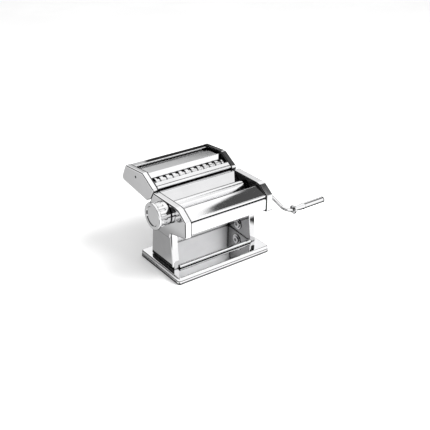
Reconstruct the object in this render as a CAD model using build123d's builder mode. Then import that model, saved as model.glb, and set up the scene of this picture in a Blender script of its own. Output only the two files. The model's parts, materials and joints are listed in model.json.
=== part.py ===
from build123d import *
import os
from math import atan2, cos, degrees, hypot, pi, radians, sin

# Hand-cranked pasta roller machine with a slide-on cutter unit. Millimetres, +Z up.
# Origin: centre of the base, on the table. X runs along the rollers, crank on +X and regulator
# knob on -X. The dough apron faces -Y and the cutter unit hangs on the +Y side.

# ---------------------------------------------------------------- base and pedestal
BASE_WIDTH = 197.0
BASE_DEPTH = 125.6
BASE_CORNER = 6.0
PAD_HEIGHT = 1.2
PAD_INSET = 0.8
BASE_STEP = 6.0
BASE_TOP = 12.8
BASE_LEDGE = 1.4
BASE_RIM = 4.8
BASE_SKIN = 1.8

LEG_OUTER = 89.0
LEG_INNER = 77.3
LEG_FRONT = -32.6
LEG_REAR = 36.9
LEG_TOP = 79.0
LEG_LEAN_FRONT = 4.9
LEG_LEAN_REAR = 7.1
SHEET = 1.2
CAP_BEND = 2.8

PAN_FRONT = 15.8
PAN_REAR = 20.4
PAN_GAP = 0.8
BEAD_RADIUS = 3.8

# ---------------------------------------------------------------- roller housing
FRAME_INNER = 77.5
FRAME_OUTER = 80.0
LEFT_CAP_OUTER = 90.7
RIGHT_CAP_OUTER = 93.6
HOUSING_TOP = 137.5
HOUSING_FRONT = -74.4
HOUSING_CORNER = 3.4

# ---------------------------------------------------------------- rollers and drive
ROLLER_RADIUS = 10.9
ROLLER_HALF = 72.0
JOURNAL_RADIUS = 4.0
RUNNING_FIT = 0.05
GEAR_TEETH = 22
GEAR_MODULE = 1.0
FRONT_AXIS = (-11.2, 119.0)
NIP_TILT = 16.0
AXIS_DISTANCE = GEAR_TEETH * GEAR_MODULE
REAR_AXIS = (
    FRONT_AXIS[0] + AXIS_DISTANCE * cos(radians(NIP_TILT)),
    FRONT_AXIS[1] - AXIS_DISTANCE * sin(radians(NIP_TILT)),
)
ROLLER_TRAVEL = 1.9
GEAR_START = 83.4
GEAR_END = 90.6

# ---------------------------------------------------------------- crank
ROD_RADIUS = 3.0
ARM_PLANE = 119.4
HANDLE_AXIS = (-81.7, 82.8)
GRIP_START = 137.0
GRIP_END = 207.0
SOCKET_END = 97.0
SOCKET_DEPTH = 20.0

# ---------------------------------------------------------------- regulator knob
KNOB_AXIS = (-14.1, 116.6)
KNOB_FACE = -116.6
KNOB_RADIUS = 23.9
KNOB_FLUTES = 16

# ---------------------------------------------------------------- cutter unit
CUT_FRAME_INNER = 77.6
CUT_FRAME_OUTER = 80.2
CUT_LEFT_OUTER = 88.6
CUT_RIGHT_OUTER = 90.5
CUT_HALF = 71.5
CUT_TOOTH_RADIUS = 9.3
WIDE_PITCH = 13.0
THIN_PITCH = 3.0
WIDE_DEPTH = 2.7
THIN_DEPTH = 1.6
CUT_CLEARANCE = 0.3
WIDE_FRONT_AXIS = (48.8, 140.9)
WIDE_TILT = 20.0
THIN_FRONT_AXIS = (95.4, 142.6)


# ---------------------------------------------------------------- helpers
def rod_x(radius, start, end, centre, mode=Mode.ADD):
    """Cylinder along X between two stations, round a (Y, Z) centre."""
    with Locations(((start + end) / 2, centre[0], centre[1])):
        Cylinder(radius, abs(end - start), rotation=(0, 90, 0), mode=mode)


def block(x_range, y_range, z_range, mode=Mode.ADD):
    """Box between two stations on each axis."""
    spans = (x_range, y_range, z_range)
    with Locations(tuple((low + high) / 2 for low, high in spans)):
        Box(*(abs(high - low) for low, high in spans), mode=mode)


def sheet_along_x(points, radius, thickness, start, end, side=Side.LEFT):
    """Bent sheet: a YZ path with rounded bends, given a thickness and run along X."""
    with BuildPart() as sheet:
        with BuildSketch(Plane.YZ.offset(start)):
            with BuildLine():
                FilletPolyline(*points, radius=radius)
                offset(amount=thickness, side=side)
            make_face()
        extrude(amount=end - start)
    return sheet


def slab_along_x(points, radius, start, end, inset=0.0):
    """Flat plate with a closed, rounded YZ outline, run along X."""
    with BuildPart() as slab:
        with BuildSketch(Plane.YZ.offset(start)):
            with BuildLine():
                FilletPolyline(*points, radius=radius, close=True)
            make_face()
            if inset:
                offset(amount=-inset)
        extrude(amount=end - start)
    return slab


def pressed_cap(points, radius, rim, face):
    """Side cover pressed from sheet: a face with a flange round it, open towards the machine."""
    outward = 1 if face > rim else -1
    with BuildPart() as cap:
        with BuildSketch(Plane.YZ.offset(rim)):
            with BuildLine():
                FilletPolyline(*points, radius=radius, close=True)
            make_face()
        extrude(amount=face - rim)
        fillet(cap.faces().sort_by(Axis.X)[-1 if outward > 0 else 0].edges(), CAP_BEND)
        with BuildSketch(Plane.YZ.offset(rim)):
            with BuildLine():
                FilletPolyline(*points, radius=radius, close=True)
            make_face()
            offset(amount=-SHEET)
        extrude(amount=face - rim - outward * SHEET, mode=Mode.SUBTRACT)
    return cap


def spur_gear(teeth, module, start, end, centre, bore, turn=0.0):
    """Spur gear with straight-flanked teeth, its first tooth pointing at angle turn in YZ."""
    root = module * (teeth / 2 - 1.25)
    tip = module * (teeth / 2 + 0.95)
    pitch_angle = 2 * pi / teeth
    corners = []
    for tooth in range(teeth):
        middle = radians(turn) + tooth * pitch_angle
        for share, reach in ((-0.34, root), (-0.12, tip), (0.12, tip), (0.34, root)):
            angle = middle + share * pitch_angle
            corners.append((centre[0] + reach * cos(angle), centre[1] + reach * sin(angle)))
    with BuildPart() as gear:
        with BuildSketch(Plane.YZ.offset(start)):
            with BuildLine():
                Polyline(*corners, close=True)
            make_face()
        extrude(amount=end - start)
        rod_x(bore, start - 1, end + 1, centre, Mode.SUBTRACT)
    return gear


def save(builder, name):
    """Label a finished piece and write it under its own node name."""
    builder.part.label = name
    export_step(builder.part, f"parts/{name}.step")


os.makedirs("parts", exist_ok=True)

# ================================================================ base
# Pressed shell with a stepped side, closed underneath by a rubber pad.
with BuildPart() as base_plate:
    with BuildSketch(Plane.XY.offset(PAD_HEIGHT)):
        RectangleRounded(BASE_WIDTH, BASE_DEPTH, BASE_CORNER)
    extrude(amount=BASE_STEP - PAD_HEIGHT)
    fillet(base_plate.faces().sort_by(Axis.Z)[-1].edges(), 1.2)
    groove = 2 * BASE_LEDGE
    with BuildSketch(Plane.XY.offset(BASE_STEP - 1.5)):
        RectangleRounded(BASE_WIDTH - 2 * groove, BASE_DEPTH - 2 * groove, BASE_CORNER - groove)
    extrude(amount=3.0)
    with BuildSketch(Plane.XY.offset(BASE_STEP + 1.0)):
        RectangleRounded(BASE_WIDTH - BASE_LEDGE, BASE_DEPTH - BASE_LEDGE, BASE_CORNER - BASE_LEDGE / 2)
    extrude(amount=BASE_TOP - BASE_STEP - 1.0)
    fillet(base_plate.faces().sort_by(Axis.Z)[-1].edges(), 2.4)
    hollow_half = (BASE_WIDTH / 2 - BASE_RIM, BASE_DEPTH / 2 - BASE_RIM)
    block(
        (-hollow_half[0], hollow_half[0]),
        (-hollow_half[1], hollow_half[1]),
        (0, BASE_TOP - BASE_SKIN),
        Mode.SUBTRACT,
    )
save(base_plate, "base_plate")

with BuildPart() as base_pad:
    with BuildSketch(Plane.XY):
        RectangleRounded(BASE_WIDTH - 2 * PAD_INSET, BASE_DEPTH - 2 * PAD_INSET, BASE_CORNER - 2)
    extrude(amount=PAD_HEIGHT)
save(base_pad, "base_pad")

# ================================================================ pedestal
leg_outline = (
    (LEG_FRONT, BASE_TOP),
    (LEG_REAR, BASE_TOP),
    (LEG_REAR - LEG_LEAN_REAR, LEG_TOP),
    (LEG_FRONT + LEG_LEAN_FRONT, LEG_TOP),
)


def leg(side):
    """Hollow pedestal leg, rounded towards the front and rear of its outer face."""
    with BuildPart() as leg_part:
        with BuildSketch(Plane.YZ.offset(side * LEG_INNER)):
            with BuildLine():
                Polyline(*leg_outline, close=True)
            make_face()
        extrude(amount=side * (LEG_OUTER - LEG_INNER))
        upright = leg_part.edges().filter_by(lambda edge: edge.length > LEG_TOP - BASE_TOP - 1)
        outer = upright.sort_by(Axis.X)[-2:] if side > 0 else upright.sort_by(Axis.X)[:2]
        inner = upright.sort_by(Axis.X)[:2] if side > 0 else upright.sort_by(Axis.X)[-2:]
        fillet(outer, 4.0)
        fillet(inner, 1.2)
        middle = (LEG_OUTER + LEG_INNER) / 2
        half = (LEG_OUTER - LEG_INNER) / 2 - SHEET
        block(
            (side * (middle - half), side * (middle + half)),
            (LEG_FRONT + LEG_LEAN_FRONT + 4, LEG_REAR - LEG_LEAN_REAR - 4),
            (BASE_TOP, LEG_TOP - SHEET),
            Mode.SUBTRACT,
        )
    return leg_part


left_leg = leg(-1)
save(left_leg, "left_leg")
right_leg = leg(1)
save(right_leg, "right_leg")

# Boss with a flat-head screw, on the inner face of the crank-side leg.
BOSS_CENTRE = (3.8, 35.3)
with BuildPart() as leg_boss:
    rod_x(10.0, LEG_INNER - 1.6, LEG_INNER, BOSS_CENTRE)
    rod_x(7.0, LEG_INNER - 4.0, LEG_INNER - 1.6, BOSS_CENTRE)
    fillet(leg_boss.edges().filter_by(GeomType.CIRCLE).sort_by(Axis.X)[0], 1.0)
    rod_x(3.4, LEG_INNER - 4.5, LEG_INNER - 3.0, BOSS_CENTRE, Mode.SUBTRACT)
save(leg_boss, "leg_boss")

with BuildPart() as boss_screw:
    rod_x(3.3, LEG_INNER - 4.6, LEG_INNER - 3.0, BOSS_CENTRE)
    fillet(boss_screw.edges().filter_by(GeomType.CIRCLE).sort_by(Axis.X)[0], 0.6)
    block(
        (LEG_INNER - 4.7, LEG_INNER - 3.9),
        (BOSS_CENTRE[0] - 4, BOSS_CENTRE[0] + 4),
        (BOSS_CENTRE[1] - 0.5, BOSS_CENTRE[1] + 0.5),
        Mode.SUBTRACT,
    )
save(boss_screw, "boss_screw")

# Back wall between the legs, leaning like their rear edges, then upright behind the rollers.
wall_lean = LEG_LEAN_REAR / (LEG_TOP - BASE_TOP)
wall_foot = LEG_REAR - 2.0
wall_bend = wall_foot - wall_lean * (LEG_TOP - BASE_TOP)
back_wall = sheet_along_x(
    (
        (wall_foot, BASE_TOP),
        (wall_bend, LEG_TOP),
        (36.0, LEG_TOP + 10.0),
        (36.0, 116.0),
        (31.0, 122.5),
    ),
    2.0,
    SHEET,
    -LEG_INNER,
    LEG_INNER,
    Side.RIGHT,
)
save(back_wall, "back_wall")

# Pan between the legs, rising towards the wall, with a rolled bead along its front edge.
BEAD_AXIS = (LEG_FRONT + 0.6, BASE_TOP + 2.3)
pan_outline = (
    (BEAD_AXIS[0] + 1, PAN_FRONT),
    (wall_foot - 1.4, PAN_REAR),
    (wall_foot - 1.4, PAN_REAR - SHEET),
    (BEAD_AXIS[0] + 1, PAN_FRONT - SHEET),
)
with BuildPart() as floor_pan:
    with BuildSketch(Plane.YZ.offset(PAN_GAP - LEG_INNER)):
        with BuildLine():
            Polyline(*pan_outline, close=True)
        make_face()
    extrude(amount=2 * (LEG_INNER - PAN_GAP))
    fillet(floor_pan.edges().group_by(Axis.Z)[-1].filter_by(Axis.X), 0.4)
    rod_x(BEAD_RADIUS, -LEG_INNER, LEG_INNER, BEAD_AXIS)
    block(
        (-LEG_INNER, LEG_INNER),
        (BEAD_AXIS[0] - 5, BEAD_AXIS[0] + 5),
        (BASE_TOP - 5, BASE_TOP),
        Mode.SUBTRACT,
    )
save(floor_pan, "floor_pan")

# ================================================================ housing
housing_outline = (
    (HOUSING_FRONT, 121.1),
    (-53.5, 136.0),
    (-45.0, HOUSING_TOP),
    (23.0, HOUSING_TOP),
    (35.0, 119.0),
    (38.6, 114.0),
    (38.6, 84.0),
    (33.0, 70.7),
    (-25.6, 70.7),
    (-28.0, 81.0),
    (HOUSING_FRONT, 91.2),
)
KNOB_HOLE = 5.2
SOCKET_HOLE = 6.4


def housing_cap(side, face):
    """Pressed side cover of the roller housing, slotted below so that it drops over the leg."""
    cap = pressed_cap(housing_outline, HOUSING_CORNER, side * FRAME_OUTER, face)
    with BuildPart() as covered:
        add(cap.part)
        block(
            (side * FRAME_OUTER, side * (LEG_OUTER + 0.3)),
            (-34.0, 34.0),
            (60.0, LEG_TOP + 0.5),
            Mode.SUBTRACT,
        )
        if side < 0:
            rod_x(KNOB_HOLE, face - 2, face + 6, KNOB_AXIS, Mode.SUBTRACT)
        else:
            rod_x(SOCKET_HOLE, face - 6, face + 2, REAR_AXIS, Mode.SUBTRACT)
    return covered


left_cap = housing_cap(-1, -LEFT_CAP_OUTER)
save(left_cap, "left_side_cap")
right_cap = housing_cap(1, RIGHT_CAP_OUTER)
save(right_cap, "right_side_cap")

BUSH_OUTER = 6.5
ROD_SEATS = ((-58.0, 104.0), (-24.0, 92.0), (24.0, 94.0))
frame_outline = (
    (-73.2, 120.5),
    (-53.2, 135.0),
    (-44.9, 136.6),
    (22.4, 136.6),
    (34.0, 118.8),
    (34.2, 114.0),
    (34.2, LEG_TOP + 0.4),
    (-30.0, LEG_TOP + 4.0),
    (-73.2, 94.0),
)


def frame_plate(side):
    """Plate that carries the roller journals: a bush for the rear one, a slot for the front one."""
    start, end = sorted((side * FRAME_INNER, side * FRAME_OUTER))
    plate = slab_along_x(frame_outline, 3.0, start, end)
    tilt = 180 - NIP_TILT
    with BuildPart() as drilled:
        add(plate.part)
        rod_x(BUSH_OUTER, start - 1, end + 1, REAR_AXIS, Mode.SUBTRACT)
        for seat in ROD_SEATS:
            rod_x(2.5, start - 1, end + 1, seat, Mode.SUBTRACT)
        with BuildSketch(Plane.YZ.offset(start - 1)):
            reach = ROLLER_TRAVEL / 2
            slot_centre = (
                FRONT_AXIS[0] + reach * cos(radians(tilt)),
                FRONT_AXIS[1] + reach * sin(radians(tilt)),
            )
            with Locations(slot_centre):
                SlotOverall(ROLLER_TRAVEL + 10.0, 9.6, rotation=tilt)
        extrude(amount=end - start + 2, mode=Mode.SUBTRACT)
    return drilled


left_frame = frame_plate(-1)
save(left_frame, "left_frame")
right_frame = frame_plate(1)
save(right_frame, "right_frame")

with BuildPart() as frame_rods:
    for seat in ROD_SEATS:
        rod_x(4.0, -FRAME_INNER, FRAME_INNER, seat)
        rod_x(2.5, -FRAME_OUTER, FRAME_OUTER, seat)
save(frame_rods, "frame_rods")

with BuildPart() as rod_nuts:
    for seat in ROD_SEATS:
        for side in (-1, 1):
            with BuildSketch(Plane.YZ.offset(side * FRAME_OUTER)):
                with Locations(seat):
                    RegularPolygon(4.5, 6)
            extrude(amount=side * 3.0)
save(rod_nuts, "rod_nuts")

with BuildPart() as rear_bushes:
    for side in (-1, 1):
        rod_x(BUSH_OUTER, side * FRAME_INNER, side * FRAME_OUTER, REAR_AXIS)
        rod_x(BUSH_OUTER - 1.2, side * (ROLLER_HALF + 0.4), side * FRAME_INNER, REAR_AXIS)
        rod_x(JOURNAL_RADIUS + RUNNING_FIT, side * 70, side * 82, REAR_AXIS, Mode.SUBTRACT)
save(rear_bushes, "rear_bushes")

# Sheet covers between the frames.
rear_panel = sheet_along_x(
    (
        (35.0, 128.0),
        (33.0, 136.9),
        (17.9, 136.9),
        (2.4, 122.7),
    ),
    1.6,
    SHEET,
    -FRAME_INNER,
    FRAME_INNER,
    Side.LEFT,
)
save(rear_panel, "rear_panel")

COVER_TOP = (-47.8, 132.6)
COVER_CROWN = (-59.0, 128.3)
COVER_BEAD = (-69.6, 120.4)
front_cover = sheet_along_x(
    (
        (-35.0, 112.0),
        (-42.6, 131.0),
        COVER_TOP,
        COVER_CROWN,
        (COVER_BEAD[0], COVER_BEAD[1] + 2.4),
    ),
    (1.2, 1.2, 130.0),
    SHEET,
    -FRAME_INNER,
    FRAME_INNER,
    Side.LEFT,
)
with BuildPart() as beaded_cover:
    add(front_cover.part)
    rod_x(2.4, -FRAME_INNER, FRAME_INNER, COVER_BEAD)
save(beaded_cover, "front_cover")

front_apron = sheet_along_x(
    (
        (-68.0, 116.6),
        (-73.2, 116.6),
        (-73.2, 94.4),
        (-62.0, 94.4),
    ),
    2.6,
    SHEET,
    -FRAME_INNER,
    FRAME_INNER,
    Side.LEFT,
)
save(front_apron, "front_apron")


def blade(rod, rod_radius, tip, half_length):
    """Thin scraper blade that runs from a tie rod to a tip just off a roller."""
    run = hypot(tip[0] - rod[0], tip[1] - rod[1])
    angle = atan2(tip[1] - rod[1], tip[0] - rod[0])
    start = (rod[0] + rod_radius * cos(angle), rod[1] + rod_radius * sin(angle))
    with BuildPart() as scraper:
        with BuildSketch(Plane.YZ.offset(-half_length)):
            with Locations(((start[0] + tip[0]) / 2, (start[1] + tip[1]) / 2)):
                Rectangle(run - rod_radius, 0.8, rotation=degrees(angle))
        extrude(amount=2 * half_length)
    return scraper


front_scraper = blade(ROD_SEATS[1], 4.0, (-15.6, 107.4), ROLLER_HALF)
save(front_scraper, "front_scraper")
rear_scraper = blade(ROD_SEATS[2], 4.0, (16.4, 102.8), ROLLER_HALF)
save(rear_scraper, "rear_scraper")

# ================================================================ smooth rollers
with BuildPart() as front_roller:
    rod_x(ROLLER_RADIUS, -ROLLER_HALF, ROLLER_HALF, FRONT_AXIS)
    fillet(front_roller.edges().filter_by(GeomType.CIRCLE), 0.6)
    rod_x(JOURNAL_RADIUS, -84.0, GEAR_END, FRONT_AXIS)
save(front_roller, "front_roller")

with BuildPart() as rear_roller:
    rod_x(ROLLER_RADIUS, -ROLLER_HALF, ROLLER_HALF, REAR_AXIS)
    fillet(rear_roller.edges().filter_by(GeomType.CIRCLE), 0.6)
    rod_x(JOURNAL_RADIUS, -82.0, GEAR_START, REAR_AXIS)
    rod_x(5.0, GEAR_START, SOCKET_END, REAR_AXIS)
    chamfer(rear_roller.edges().filter_by(GeomType.CIRCLE).sort_by(Axis.X)[-1], 0.8)
    rod_x(ROD_RADIUS + RUNNING_FIT, SOCKET_END - SOCKET_DEPTH, SOCKET_END + 1, REAR_AXIS, Mode.SUBTRACT)
save(rear_roller, "rear_roller")

# The rear gear points a tooth at the front gear, which meets it with a gap.
mesh_angle = 180 - NIP_TILT
rear_gear = spur_gear(GEAR_TEETH, GEAR_MODULE, GEAR_START, GEAR_END, REAR_AXIS, 5.0, mesh_angle)
save(rear_gear, "rear_roller_gear")
half_tooth = 180 / GEAR_TEETH
front_gear = spur_gear(
    GEAR_TEETH, GEAR_MODULE, GEAR_START, GEAR_END, FRONT_AXIS, JOURNAL_RADIUS, -NIP_TILT + half_tooth
)
save(front_gear, "front_roller_gear")


def bearing_block(start, end, name):
    """Block on the outside of a frame plate that carries the adjustable roller's journal."""
    with BuildPart() as bearing:
        with BuildSketch(Plane.YZ.offset(start)):
            with Locations(FRONT_AXIS):
                RectangleRounded(15.0, 14.0, 2.0, rotation=-NIP_TILT)
        extrude(amount=end - start)
        rod_x(JOURNAL_RADIUS + RUNNING_FIT, start - 1, end + 1, FRONT_AXIS, Mode.SUBTRACT)
    save(bearing, name)


bearing_block(-83.6, -80.3, "left_bearing_block")
bearing_block(80.3, 82.8, "right_bearing_block")

# ================================================================ regulator knob
with BuildPart() as knob_spindle:
    rod_x(4.0, -110.0, -84.4, KNOB_AXIS)
    rod_x(7.0, -85.9, -84.4, KNOB_AXIS)
save(knob_spindle, "knob_spindle")

with BuildPart() as knob_disc:
    rod_x(KNOB_RADIUS, KNOB_FACE, KNOB_FACE + 5.4, KNOB_AXIS)
    fillet(knob_disc.edges().filter_by(GeomType.CIRCLE), 1.4)
    with BuildSketch(Plane.YZ.offset(KNOB_FACE)):
        with Locations(KNOB_AXIS):
            Circle(17.6)
    extrude(amount=1.4, taper=40, mode=Mode.SUBTRACT)
save(knob_disc, "knob_disc")

GRIP_BACK = -92.2
with BuildPart() as knob_grip:
    rod_x(21.0, KNOB_FACE + 5.4, -97.6, KNOB_AXIS)
    with BuildSketch(Plane.YZ.offset(KNOB_FACE + 5.4)):
        with Locations(KNOB_AXIS):
            with PolarLocations(22.6, KNOB_FLUTES):
                Circle(2.6)
    extrude(amount=12.0, mode=Mode.SUBTRACT)
    rod_x(20.0, -97.6, GRIP_BACK, KNOB_AXIS)
    rod_x(4.0 + RUNNING_FIT, -110.0, GRIP_BACK + 1, KNOB_AXIS, Mode.SUBTRACT)
save(knob_grip, "knob_grip")

# ================================================================ crank
with BuildPart() as crank_rod:
    with BuildLine():
        FilletPolyline(
            (SOCKET_END - SOCKET_DEPTH + 1.0, REAR_AXIS[0], REAR_AXIS[1]),
            (ARM_PLANE, REAR_AXIS[0], REAR_AXIS[1]),
            (ARM_PLANE, HANDLE_AXIS[0], HANDLE_AXIS[1]),
            (GRIP_END - 4.0, HANDLE_AXIS[0], HANDLE_AXIS[1]),
            radius=(13.0, 15.0),
        )
    with BuildSketch(Plane((SOCKET_END - SOCKET_DEPTH + 1.0, *REAR_AXIS), z_dir=(1, 0, 0))):
        Circle(ROD_RADIUS)
    sweep()
save(crank_rod, "crank_rod")

with BuildPart() as handle_collar:
    rod_x(8.2, GRIP_START - 2.9, GRIP_START - 0.3, HANDLE_AXIS)
    fillet(handle_collar.edges().filter_by(GeomType.CIRCLE), 0.8)
    rod_x(ROD_RADIUS, GRIP_START - 4, GRIP_START + 1, HANDLE_AXIS, Mode.SUBTRACT)
save(handle_collar, "handle_collar")

GRIP_STEP = GRIP_START + 23.0
with BuildPart() as crank_grip:
    with BuildSketch(Plane((0, *HANDLE_AXIS), x_dir=(1, 0, 0), z_dir=(0, 0, 1))):
        with BuildLine():
            Line((GRIP_START, 0), (GRIP_START, 3.6))
            Spline((GRIP_START, 3.6), (GRIP_START + 10, 4.7), (GRIP_STEP - 1, 5.8))
            Line((GRIP_STEP - 1, 5.8), (GRIP_STEP, 5.3))
            Line((GRIP_STEP, 5.3), (GRIP_END - 3, 5.3))
            Line((GRIP_END - 3, 5.3), (GRIP_END - 3, 0))
            Line((GRIP_END - 3, 0), (GRIP_START, 0))
        make_face()
    revolve(axis=Axis((0, *HANDLE_AXIS), (1, 0, 0)))
    rod_x(ROD_RADIUS + RUNNING_FIT, GRIP_START - 1, GRIP_END - 3.8, HANDLE_AXIS, Mode.SUBTRACT)
save(crank_grip, "crank_grip")

with BuildPart() as grip_cap:
    rod_x(5.6, GRIP_END - 3, GRIP_END, HANDLE_AXIS)
    fillet(grip_cap.edges().filter_by(GeomType.CIRCLE).sort_by(Axis.X)[-1], 1.2)
save(grip_cap, "crank_grip_cap")

# ================================================================ cutter unit
cutter_outline = (
    (24.4, 140.2),
    (60.1, 160.6),
    (119.9, 155.6),
    (132.6, 132.4),
    (134.4, 123.4),
    (51.1, 112.4),
    (37.4, 119.4),
)
CUTTER_CORNERS = (5.0, 5.0, 8.0, 8.0, 7.2, 5.0, 5.0)
CUT_FRAME_INSET = 0.8
CAP_HOLE = 2.5
CUT_GEAR_START = 80.6
CUT_GEAR_END = 86.6
CUT_SOCKET_END = CUT_RIGHT_OUTER + 1.5


def second_axis(front, depth, tilt):
    """Axis of the rear roller of a cutting pair, whose teeth run in the front one's grooves."""
    distance = 2 * CUT_TOOTH_RADIUS - depth + CUT_CLEARANCE
    return (front[0] + distance * cos(radians(tilt)), front[1] - distance * sin(radians(tilt)))


WIDE_REAR_AXIS = second_axis(WIDE_FRONT_AXIS, WIDE_DEPTH, WIDE_TILT)
THIN_REAR_AXIS = second_axis(THIN_FRONT_AXIS, THIN_DEPTH, 0.0)
CUT_ROD_SEATS = ((44.0, 121.5), (88.0, 125.0), (124.0, 131.0))
CUT_AXES = (WIDE_FRONT_AXIS, WIDE_REAR_AXIS, THIN_FRONT_AXIS, THIN_REAR_AXIS)
DRIVEN_AXES = (WIDE_REAR_AXIS, THIN_REAR_AXIS)


def cutter_cap(side, face):
    """Pressed side cover of the cutter unit; the crank side has a hole at each driven roller."""
    cap = pressed_cap(cutter_outline, CUTTER_CORNERS, side * CUT_FRAME_OUTER, face)
    with BuildPart() as covered:
        add(cap.part)
        if side > 0:
            for axis in DRIVEN_AXES:
                rod_x(SOCKET_HOLE, face - 6, face + 2, axis, Mode.SUBTRACT)
        else:
            rod_x(CAP_HOLE, face - 2, face + 4, (83.9, 144.9), Mode.SUBTRACT)
    return covered


cutter_left_cap = cutter_cap(-1, -CUT_LEFT_OUTER)
save(cutter_left_cap, "cutter_left_cap")
cutter_right_cap = cutter_cap(1, CUT_RIGHT_OUTER)
save(cutter_right_cap, "cutter_right_cap")


def cutter_frame(side):
    """Plate that carries the four cutting rollers."""
    start, end = sorted((side * CUT_FRAME_INNER, side * CUT_FRAME_OUTER))
    plate = slab_along_x(cutter_outline, CUTTER_CORNERS, start, end, CUT_FRAME_INSET)
    with BuildPart() as drilled:
        add(plate.part)
        for axis in CUT_AXES:
            rod_x(JOURNAL_RADIUS + RUNNING_FIT, start - 1, end + 1, axis, Mode.SUBTRACT)
        for seat in CUT_ROD_SEATS:
            rod_x(2.0, start - 1, end + 1, seat, Mode.SUBTRACT)
    return drilled


cutter_left_frame = cutter_frame(-1)
save(cutter_left_frame, "cutter_left_frame")
cutter_right_frame = cutter_frame(1)
save(cutter_right_frame, "cutter_right_frame")

with BuildPart() as cutter_rods:
    for seat in CUT_ROD_SEATS:
        rod_x(3.0, -CUT_FRAME_INNER, CUT_FRAME_INNER, seat)
        rod_x(2.0, -CUT_FRAME_OUTER, CUT_FRAME_OUTER, seat)
save(cutter_rods, "cutter_rods")


def cutting_roller(axis, pitch, depth, phase, name, driven):
    """Roller with square grooves as wide as its teeth; phase shifts the teeth by half a pitch."""
    body = CUT_TOOTH_RADIUS - depth
    groove = pitch / 2 + 0.3
    count = int(2 * CUT_HALF / pitch) + 2
    with BuildPart() as roller:
        with BuildSketch(Plane((0, *axis), x_dir=(1, 0, 0), z_dir=(0, 0, 1))):
            with Locations((0, CUT_TOOTH_RADIUS / 2)):
                Rectangle(2 * CUT_HALF, CUT_TOOTH_RADIUS)
            for index in range(-count, count + 1):
                centre = (index + phase) * pitch
                low = max(centre - groove / 2, -CUT_HALF)
                high = min(centre + groove / 2, CUT_HALF)
                if high - low > 0.2:
                    with Locations(((low + high) / 2, body + depth)):
                        Rectangle(high - low, 2 * depth, mode=Mode.SUBTRACT)
        revolve(axis=Axis((0, *axis), (1, 0, 0)))
        rod_x(JOURNAL_RADIUS, -81.0, CUT_GEAR_END, axis)
        if driven:
            socket_start = CUT_SOCKET_END - SOCKET_DEPTH
            rod_x(5.0, CUT_GEAR_END, CUT_SOCKET_END, axis)
            rod_x(ROD_RADIUS + RUNNING_FIT, socket_start, CUT_SOCKET_END + 1, axis, Mode.SUBTRACT)
    save(roller, name)


cutting_roller(WIDE_FRONT_AXIS, WIDE_PITCH, WIDE_DEPTH, 0.0, "wide_cutter_front", False)
cutting_roller(WIDE_REAR_AXIS, WIDE_PITCH, WIDE_DEPTH, 0.5, "wide_cutter_rear", True)
cutting_roller(THIN_FRONT_AXIS, THIN_PITCH, THIN_DEPTH, 0.0, "thin_cutter_front", False)
cutting_roller(THIN_REAR_AXIS, THIN_PITCH, THIN_DEPTH, 0.5, "thin_cutter_rear", True)


def cutter_gears(front, rear, tilt, name):
    """The meshed pair on the crank side of a cutting pair."""
    teeth = 16
    module = hypot(rear[0] - front[0], rear[1] - front[1]) / teeth
    first = spur_gear(teeth, module, CUT_GEAR_START, CUT_GEAR_END, rear, JOURNAL_RADIUS, 180 - tilt)
    save(first, f"{name}_rear_gear")
    second = spur_gear(
        teeth, module, CUT_GEAR_START, CUT_GEAR_END, front, JOURNAL_RADIUS, 180 / teeth - tilt
    )
    save(second, f"{name}_front_gear")


cutter_gears(WIDE_FRONT_AXIS, WIDE_REAR_AXIS, WIDE_TILT, "wide_cutter")
cutter_gears(THIN_FRONT_AXIS, THIN_REAR_AXIS, 0.0, "thin_cutter")

# Sheet covers and bars across the top of the cutter unit.
with BuildPart() as cutter_front_bar:
    rod_x(2.8, -CUT_FRAME_INNER, CUT_FRAME_INNER, (30.8, 140.6))
save(cutter_front_bar, "cutter_front_bar")

cutter_front_plate = sheet_along_x(
    ((32.0, 143.9), (38.0, 148.6), (37.4, 132.0)),
    0.8,
    SHEET,
    -CUT_FRAME_INNER,
    CUT_FRAME_INNER,
    Side.RIGHT,
)
save(cutter_front_plate, "cutter_front_plate")

cutter_middle_panel = sheet_along_x(
    ((57.4, 147.9), (62.0, 156.3), (90.3, 154.0), (90.3, 152.2)),
    1.0,
    SHEET,
    -CUT_FRAME_INNER,
    CUT_FRAME_INNER,
    Side.RIGHT,
)
save(cutter_middle_panel, "cutter_middle_panel")

cutter_rear_cover = sheet_along_x(
    ((104.8, 153.2), (104.8, 155.6), (119.4, 154.4), (130.4, 133.4), (130.6, 127.6)),
    1.0,
    SHEET,
    -CUT_FRAME_INNER,
    CUT_FRAME_INNER,
    Side.RIGHT,
)
save(cutter_rear_cover, "cutter_rear_cover")

strippers = {
    "wide_front_stripper": blade(CUT_ROD_SEATS[0], 3.0, (47.6, 130.9), CUT_HALF),
    "wide_rear_stripper": blade(CUT_ROD_SEATS[1], 3.0, (70.4, 126.3), CUT_HALF),
    "thin_front_stripper": blade(CUT_ROD_SEATS[1], 3.0, (91.6, 132.6), CUT_HALF),
    "thin_rear_stripper": blade(CUT_ROD_SEATS[2], 3.0, (119.4, 133.8), CUT_HALF),
}
for stripper_name, stripper in strippers.items():
    save(stripper, stripper_name)

# ================================================================ cutter mounting
RAIL_STATION = 55.0
WALL_FACE = 36.0 + SHEET
RAIL_TOP = 114.0
SLIDE_GAP = 0.3
with BuildPart() as cutter_rails:
    for centre in (-RAIL_STATION, RAIL_STATION):
        block((centre - 2, centre + 2), (WALL_FACE, 40.5), (94, RAIL_TOP))
        block((centre - 6, centre + 6), (40.4, 43.4), (94, RAIL_TOP))
save(cutter_rails, "cutter_rails")

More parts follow.
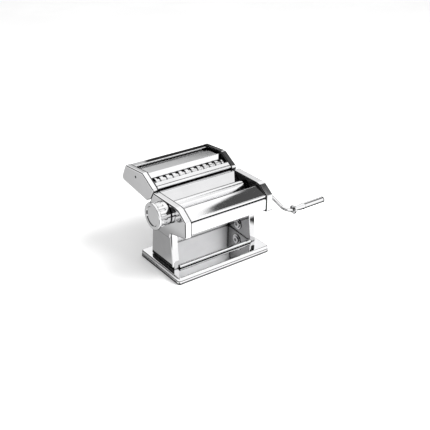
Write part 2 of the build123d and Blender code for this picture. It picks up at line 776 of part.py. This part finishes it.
with BuildPart() as cutter_clips:
    for centre in (-RAIL_STATION, RAIL_STATION):
        block((centre - 8.5, centre + 8.5), (WALL_FACE + 0.4, 45.6), (96, 118))
        block((centre - 8.5, centre + 8.5), (39.0, 49.0), (116.0, CUT_ROD_SEATS[0][1]))
        block(
            (centre - 6 - SLIDE_GAP, centre + 6 + SLIDE_GAP),
            (40.4 - SLIDE_GAP, 43.4 + SLIDE_GAP),
            (95, RAIL_TOP),
            Mode.SUBTRACT,
        )
        block(
            (centre - 2 - SLIDE_GAP, centre + 2 + SLIDE_GAP),
            (WALL_FACE, 41),
            (95, RAIL_TOP),
            Mode.SUBTRACT,
        )
    rod_x(3.0, -70, 70, CUT_ROD_SEATS[0], Mode.SUBTRACT)
save(cutter_clips, "cutter_clips")
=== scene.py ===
import json
import math

import bpy
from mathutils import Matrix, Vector


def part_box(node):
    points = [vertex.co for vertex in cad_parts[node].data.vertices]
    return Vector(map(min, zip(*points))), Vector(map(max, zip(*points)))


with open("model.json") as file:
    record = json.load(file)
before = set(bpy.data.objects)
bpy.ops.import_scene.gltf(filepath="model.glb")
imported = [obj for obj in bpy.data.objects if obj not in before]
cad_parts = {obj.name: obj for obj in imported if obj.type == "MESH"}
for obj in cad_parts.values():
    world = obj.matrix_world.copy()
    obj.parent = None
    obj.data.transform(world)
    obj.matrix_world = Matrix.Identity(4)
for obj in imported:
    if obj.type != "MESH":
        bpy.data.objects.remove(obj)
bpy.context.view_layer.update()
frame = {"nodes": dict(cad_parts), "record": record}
SCENE = bpy.context.scene
SCENE.view_settings.view_transform = "Standard"
WHITE = (1, 1, 1, 1)


# ---------------------------------------------------------------- helpers
def direction(azimuth, elevation):
    """Unit vector towards a point of the studio; azimuth 0 is +X and 90 is +Y, in degrees."""
    a, e = math.radians(azimuth), math.radians(elevation)
    return Vector((math.cos(a) * math.cos(e), math.sin(a) * math.cos(e), math.sin(e)))


def place_facing(name, data, centre, towards, distance):
    """Put a camera or a lamp at that distance from the centre, looking back at it."""
    made = bpy.data.objects.new(name, data)
    SCENE.collection.objects.link(made)
    made.location = centre + towards * distance
    made.rotation_mode = "QUATERNION"
    made.rotation_quaternion = towards.to_track_quat("Z", "Y")
    return made


class Tree:
    """Short names for building a node tree."""

    def __init__(self, tree):
        self.tree = tree
        tree.nodes.clear()

    def node(self, kind, inputs=None, **settings):
        """New node; each input is another node's socket or a plain value."""
        made = self.tree.nodes.new(kind)
        for key, value in settings.items():
            setattr(made, key, value)
        for key, value in (inputs or {}).items():
            if isinstance(value, bpy.types.NodeSocket):
                self.tree.links.new(value, made.inputs[key])
            else:
                made.inputs[key].default_value = value
        return made

    def coordinates(self, kind):
        return self.node("ShaderNodeTexCoord").outputs[kind]

    def axes(self, vector):
        return self.node("ShaderNodeSeparateXYZ", {0: vector}).outputs

    def noise(self, place, scale, detail):
        inputs = {"Vector": place, "Scale": scale, "Detail": detail}
        return self.node("ShaderNodeTexNoise", inputs).outputs["Fac"]

    def colour(self, red, green, blue):
        return self.node("ShaderNodeCombineColor", {0: red, 1: green, 2: blue}).outputs[0]

    def math(self, operation, first, second=0.0, third=0.0):
        inputs = {0: first, 1: second, 2: third}
        return self.node("ShaderNodeMath", inputs, operation=operation).outputs[0]

    def ramp_step(self, value, low, high, out_low, out_high):
        """Smooth step from out_low at low to out_high at high."""
        inputs = {"Value": value, "From Min": low, "From Max": high, "To Min": out_low, "To Max": out_high}
        return self.node("ShaderNodeMapRange", inputs, interpolation_type="SMOOTHSTEP").outputs[0]

    def dimmed(self, tone, value, low, high, darkest):
        """The tone, down to the darkest share of it where the value is below low."""
        return self.math("MULTIPLY", tone, self.ramp_step(value, low, high, darkest, 1.0))

    def window(self, value, centre, half, soft):
        """One inside centre +- half, fading to nothing over the soft edge."""
        away = self.math("ABSOLUTE", self.math("SUBTRACT", value, centre))
        return self.ramp_step(away, half, half + soft, 1.0, 0.0)

    def turn_window(self, turn, centre, half, soft):
        """The same window on an angle in degrees, which runs on past 180."""
        away = self.math("WRAP", self.math("SUBTRACT", turn, centre), 180.0, -180.0)
        return self.window(away, 0.0, half, soft)

    def shaded(self, glow, mask, depth):
        """The glow, dimmed by depth where the mask is one; a negative depth brightens it."""
        return self.math("MULTIPLY", glow, self.math("MULTIPLY_ADD", mask, -depth, 1.0))

    def background(self, strength):
        return self.node("ShaderNodeBackground", {"Color": WHITE, "Strength": strength}).outputs[0]

    def mix(self, share, first, second):
        return self.node("ShaderNodeMixShader", {0: share, 1: first, 2: second}).outputs[0]

    def principled(self, inputs):
        return self.node("ShaderNodeBsdfPrincipled", inputs).outputs[0]


def new_material(name):
    """Material with an empty node tree."""
    made = bpy.data.materials.new(name)
    made.use_nodes = True
    return made, Tree(made.node_tree)


# ---------------------------------------------------------------- camera
CAMERA_AZIMUTH = -125.9
CAMERA_ELEVATION = 27.3
CAMERA_TARGET = Vector((0.02204, 0.0, 0.07176))
CAMERA_DISTANCE = 1.2926

camera_data = bpy.data.cameras.new("camera")
camera_data.lens = 60.46
camera_data.sensor_width = 36.0
camera_data.clip_end = 50.0
camera_side = direction(CAMERA_AZIMUTH, CAMERA_ELEVATION)
SCENE.camera = place_facing("camera", camera_data, CAMERA_TARGET, camera_side, CAMERA_DISTANCE)

# ---------------------------------------------------------------- studio
# The chrome shows a bright studio with dark cards in it. Matt surfaces and the camera see plain light.
# Round dark cards, as (azimuth, elevation, radius, soft edge, depth) in degrees.
ROUND_CARDS = (
    (3.0, 40.0, 18.4, 1.2, 0.93),
    (-38.0, 49.0, 9.0, 7.0, 0.2),
)
# Dark strips, as (azimuth, half width, elevation, half height, soft edge, depth) in degrees.
DARK_STRIPS = (
    (90.0, 62.0, 2.0, 6.0, 2.0, 0.93),
    (45.0, 16.6, 4.0, 10.5, 0.4, 0.95),
    (126.0, 22.0, 24.0, 20.0, 5.0, 0.98),
    (195.0, 47.0, 27.0, 25.0, 4.0, 0.97),
)
WALL_GLOW = 1.08
CEILING_GLOW = 1.16
AMBIENT_GLOW = 1.02
BACKDROP_GLOW = 1.0

world = bpy.data.worlds.new("studio")
world.use_nodes = True
SCENE.world = world
w = Tree(world.node_tree)
sky = w.coordinates("Generated")
sky_axes = w.axes(sky)
glow = w.ramp_step(sky_axes[2], -0.1, 0.8, WALL_GLOW, CEILING_GLOW)
for azimuth, elevation, radius, soft, depth in ROUND_CARDS:
    inputs = {0: sky, 1: direction(azimuth, elevation)}
    towards = w.node("ShaderNodeVectorMath", inputs, operation="DOT_PRODUCT").outputs["Value"]
    away = w.math("DEGREES", w.math("ARCCOSINE", towards))
    glow = w.shaded(glow, w.window(away, 0.0, radius, soft), depth)
turn = w.math("DEGREES", w.math("ARCTAN2", sky_axes[1], sky_axes[0]))
lift = w.math("DEGREES", w.math("ARCSINE", sky_axes[2]))
for azimuth, half_width, elevation, half_height, soft, depth in DARK_STRIPS:
    across = w.turn_window(turn, azimuth, half_width, soft)
    upright = w.window(lift, elevation, half_height, soft)
    glow = w.shaded(glow, w.math("MULTIPLY", across, upright), depth)
paths = w.node("ShaderNodeLightPath").outputs
matt_or_mirror = w.mix(paths["Is Diffuse Ray"], w.background(glow), w.background(AMBIENT_GLOW))
all_rays = w.mix(paths["Is Camera Ray"], matt_or_mirror, w.background(BACKDROP_GLOW))
w.node("ShaderNodeOutputWorld", {"Surface": all_rays})

MACHINE_CENTRE = Vector((0.0, 0.0, 0.08))


def softbox(name, azimuth, elevation, distance, size, power):
    """Square area light that looks at the machine; only matt surfaces see it."""
    data = bpy.data.lights.new(name, "AREA")
    data.shape = "SQUARE"
    data.size = size
    data.energy = power
    lamp = place_facing(name, data, MACHINE_CENTRE, direction(azimuth, elevation), distance)
    lamp.visible_camera = False
    lamp.visible_glossy = False


softbox("key_softbox", -42.0, 52.0, 1.6, 0.8, 26.0)
softbox("fill_softbox", -72.0, 4.0, 0.9, 0.3, 6.0)

# ---------------------------------------------------------------- floor
# White paper for the camera. In the chrome it glows, with painted shadow left of the machine, painted
# dark and light patches round it, and a painted contact shadow where the base meets the floor.
FLOOR_HALF = 6.0
FLOOR_DROP = 0.0002
PAPER_DARK, PAPER_MEAN, PAPER_LIGHT = 0.88, 0.9, 0.91
FLOOR_GLOW = 1.1
# Painted shade and light in the floor's reflected glow, as (x, half length, y, half width, soft edge,
# depth) in metres; a negative depth paints it brighter. The first two are painted shadow left of the
# machine.
FLOOR_PAINTED_PATCHES = (
    (-0.26, 0.16, 0.23, 0.19, 0.04, 0.36),
    (-0.135, 0.03, 0.065, 0.08, 0.03, 0.4),
    (-0.36, 0.15, -0.17, 0.15, 0.03, 0.95),
    (0.395, 0.225, 0.175, 0.325, 0.02, 0.96),
    (0.145, 0.03, 0.15, 0.15, 0.02, 0.96),
    (0.12, 0.16, -0.30, 0.12, 0.05, -0.3),
)
# Painted contact shadow round the base in the floor's reflected glow: full within the reach, gone by the
# end.
CONTACT_SHADOW_REACH, CONTACT_SHADOW_END, CONTACT_SHADOW_TONE = 0.003, 0.006, 0.04

floor_mesh = bpy.data.meshes.new("floor")
floor_corners = [(-1, -1), (1, -1), (1, 1), (-1, 1)]
floor_mesh.from_pydata([(x * FLOOR_HALF, y * FLOOR_HALF, 0) for x, y in floor_corners], [], [(0, 1, 2, 3)])
floor = bpy.data.objects.new("floor", floor_mesh)
SCENE.collection.objects.link(floor)
floor.location.z = -FLOOR_DROP
floor_paper, f = new_material("floor_paper")
floor_place = f.coordinates("Object")
paper = f.ramp_step(f.noise(floor_place, 3.0, 3.0), 0.3, 0.7, PAPER_DARK, PAPER_LIGHT)
matt = f.principled(
    {"Base Color": f.colour(paper, paper, paper), "Roughness": 0.9, "Specular IOR Level": 0.1}
)
floor_axes = f.axes(floor_place)
floor_glow = f.math("MULTIPLY", paper, FLOOR_GLOW / PAPER_MEAN)
for x, half_length, y, half_width, soft, depth in FLOOR_PAINTED_PATCHES:
    along = f.window(floor_axes[0], x, half_length, soft)
    across = f.window(floor_axes[1], y, half_width, soft)
    floor_glow = f.shaded(floor_glow, f.math("MULTIPLY", along, across), depth)
# Painted contact shadow: the floor's reflected glow goes dark just round the base's footprint.
foot_low, foot_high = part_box("base_plate")
beyond_sides = [
    f.math("SUBTRACT", f.math("ABSOLUTE", floor_axes[axis]), (foot_high[axis] - foot_low[axis]) / 2)
    for axis in (0, 1)
]
beyond_base = f.math("MAXIMUM", beyond_sides[0], beyond_sides[1])
floor_glow = f.dimmed(floor_glow, beyond_base, CONTACT_SHADOW_REACH, CONTACT_SHADOW_END, CONTACT_SHADOW_TONE)
mirrored = f.node("ShaderNodeEmission", {"Color": WHITE, "Strength": floor_glow}).outputs[0]
is_mirrored = f.node("ShaderNodeLightPath").outputs["Is Glossy Ray"]
f.node("ShaderNodeOutputMaterial", {"Surface": f.mix(is_mirrored, matt, mirrored)})
floor_mesh.materials.append(floor_paper)

# ---------------------------------------------------------------- materials
# Painted shade in crevices and joins: how far the ambient occlusion reaches, and the darkest tone it
# leaves.
CREVICE_SHADE_REACH = 0.006
CREVICE_SHADE_TONE = 0.06
CLOUD_SCALE = 28.0
CLOUD_TONE = 0.95
GRAIN_ACROSS = 2600.0
GRAIN_ALONG = 16.0
GRAIN_HEIGHT = 0.0002
COOL_CAST = 1.008


def metal(
    name,
    light,
    rough,
    grain=0.0,
    grain_axis=0,
    smudge=0.03,
    bump=0.0,
    rim=0.15,
    shine=1.0,
    inner_shade=1.0,
    under_shade=1.0,
    bow=0.0,
):
    """Polished or brushed metal.

    Faint clouds in tone and roughness, a fine grain along one axis, painted shade in crevices where
    parts meet, and a rim tint that darkens glancing reflections as on plated steel. Painted shade can also
    darken faces that look towards -X, and faces that look down, each to the share of tone given for it.
    Bow leans upright faces a little towards +Y, as on a sheet that is not quite flat.
    """
    made, t = new_material(name)
    place = t.coordinates("Object")
    cloud = t.noise(place, CLOUD_SCALE, 4.0)
    stretch = [GRAIN_ACROSS] * 3
    stretch[grain_axis] = GRAIN_ALONG
    lines = t.node("ShaderNodeMapping", {"Vector": place, "Scale": tuple(stretch)}).outputs[0]
    brush = t.noise(lines, 1.0, 2.0)
    open_air = t.node("ShaderNodeAmbientOcclusion", {"Distance": CREVICE_SHADE_REACH}, samples=8).outputs["AO"]
    tone = t.ramp_step(cloud, 0.3, 0.7, light * CLOUD_TONE, light)
    tone = t.dimmed(tone, brush, 0.25, 0.75, 1.0 - grain)
    # Painted shade: darker where nearby parts close in, in crevices and joins.
    tone = t.dimmed(tone, open_air, 0.4, 0.82, CREVICE_SHADE_TONE)
    # Painted shade on faces that look towards -X.
    if inner_shade < 1.0:
        tone = t.dimmed(tone, t.axes(t.coordinates("Normal"))[0], -0.98, -0.8, inner_shade)
    # Painted shade on faces that look down, set against world up.
    if under_shade < 1.0:
        upward = t.axes(t.node("ShaderNodeNewGeometry").outputs["Normal"])[2]
        tone = t.dimmed(tone, upward, -0.14, 0.1, under_shade)
    inputs = {
        "Base Color": t.colour(tone, tone, t.math("MULTIPLY", tone, COOL_CAST)),
        "Metallic": shine,
        "Roughness": t.ramp_step(cloud, 0.35, 0.75, rough, rough + smudge),
        "Specular Tint": (rim, rim, rim, 1.0),
    }
    if bump:
        relief = {"Height": brush, "Strength": bump, "Distance": GRAIN_HEIGHT}
        inputs["Normal"] = t.node("ShaderNodeBump", relief).outputs[0]
    if bow:
        upright = t.node("ShaderNodeNewGeometry").outputs["Normal"]
        leant = t.node("ShaderNodeVectorMath", {0: upright, 1: (0.0, bow, 0.0)}, operation="ADD").outputs[0]
        inputs["Normal"] = t.node("ShaderNodeVectorMath", {0: leant}, operation="NORMALIZE").outputs[0]
    t.node("ShaderNodeOutputMaterial", {"Surface": t.principled(inputs)})
    return made


def rubber(name):
    """Matt black rubber with a fine moulded texture."""
    made, t = new_material(name)
    grit = t.noise(t.coordinates("Object"), 900.0, 3.0)
    tone = t.ramp_step(grit, 0.3, 0.7, 0.018, 0.04)
    bumps = t.node("ShaderNodeBump", {"Height": grit, "Strength": 0.4, "Distance": 0.0003}).outputs[0]
    inputs = {"Base Color": t.colour(tone, tone, tone), "Roughness": 0.8, "Normal": bumps}
    t.node("ShaderNodeOutputMaterial", {"Surface": t.principled(inputs)})
    return made


FINISHES = {
    "base_chrome": metal("base_chrome", 0.92, 0.02),
    "pedestal_chrome": metal("pedestal_chrome", 0.88, 0.03),
    "wall_steel": metal("wall_steel", 0.88, 0.42, grain=0.04, bump=0.03, rim=0.9, shine=0.3),
    "cap_chrome": metal("cap_chrome", 0.90, 0.04, smudge=0.04),
    "cover_chrome": metal("cover_chrome", 0.94, 0.04, grain=0.04, bump=0.02),
    # The frame plates are made near black: painted shade for the dark gaps beside the caps.
    "frame_steel": metal("frame_steel", 0.10, 0.22, grain=0.2, grain_axis=1, bump=0.15),
    "roller_metal": metal("roller_metal", 0.94, 0.13, grain=0.03),
    "gear_steel": metal("gear_steel", 0.30, 0.3, grain=0.15, bump=0.2),
    "cutter_metal": metal("cutter_metal", 0.92, 0.12, grain=0.08, bump=0.05),
    # Crank and grip carry painted shade on their undersides.
    "crank_chrome": metal("crank_chrome", 0.90, 0.03, rim=0.02, under_shade=0.05),
    "grip_chrome": metal("grip_chrome", 0.90, 0.04, rim=0.02, under_shade=0.07),
    "knob_chrome": metal("knob_chrome", 0.90, 0.05, rim=0.05),
    "screw_steel": metal("screw_steel", 0.34, 0.22, grain=0.1, bump=0.1),
    "pad_rubber": rubber("pad_rubber"),
    # The right leg's face towards the bay carries painted shade.
    "bay_shaded_chrome": metal("bay_shaded_chrome", 0.88, 0.03, inner_shade=0.5),
    "bowed_chrome": metal("bowed_chrome", 0.94, 0.03, bow=0.012),
}
# Nodes whose finish is not that of their slot.
OWN_FINISH = {
    "crank_grip_cap": "screw_steel",
    "right_leg": "bay_shaded_chrome",
    "cutter_rear_cover": "bowed_chrome",
}
for part in frame["record"]["subparts"]:
    finish = FINISHES[OWN_FINISH.get(part["node"], part["material_slot"])]
    for slot in frame["nodes"][part["node"]].material_slots:
        slot.material = finish
